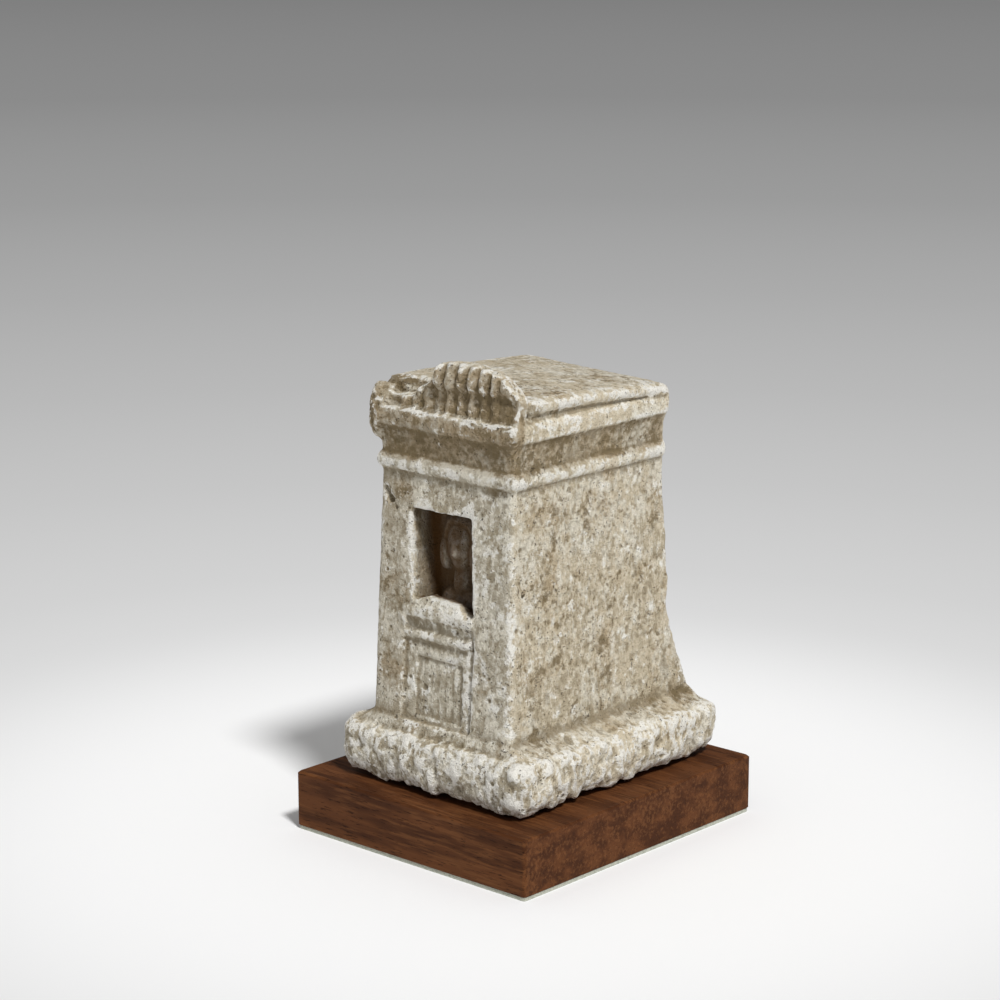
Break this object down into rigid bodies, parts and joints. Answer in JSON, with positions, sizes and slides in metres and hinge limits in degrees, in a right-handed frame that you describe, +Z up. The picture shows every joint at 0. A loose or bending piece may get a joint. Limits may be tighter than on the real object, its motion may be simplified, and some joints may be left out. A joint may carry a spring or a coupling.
{
  "type": "votive shrine on gallery base",
  "caption": "Small battered stone shrine with cavetto cornice, cobra frieze and a bust in a niche above a screen wall, pinned above a wooden display base.",
  "frame": {"origin": "middle of the underside of the felt under the wooden base", "axes": "+Z up, the niche and screen wall face -Y, +X to the right seen from the front"},
  "size_m": [0.1366, 0.1544, 0.2166],
  "materials": {
    "felt": "pale grey-green felt",
    "stained_wood": "reddish-brown stained hardwood, satin",
    "limestone": "weathered limestone, chalk-white edges, brown stains",
    "rod_steel": "drawn steel",
    "fastener_steel": "zinc-plated steel",
    "black_spacer": "matt black",
    "cured_adhesive": "cured resin"
  },
  "bodies": {
    "root": {"felt_pad": "felt", "wood_base": "stained_wood", "naos_block": "limestone", "front_mounting_rod": "rod_steel", "rear_mounting_rod": "rod_steel", "front_nut": "fastener_steel", "rear_nut": "fastener_steel", "front_washer": "fastener_steel", "rear_washer": "fastener_steel", "front_spacer": "black_spacer", "rear_spacer": "black_spacer", "front_adhesive_plug": "cured_adhesive", "rear_adhesive_plug": "cured_adhesive"}
  },
  "joints": []
}
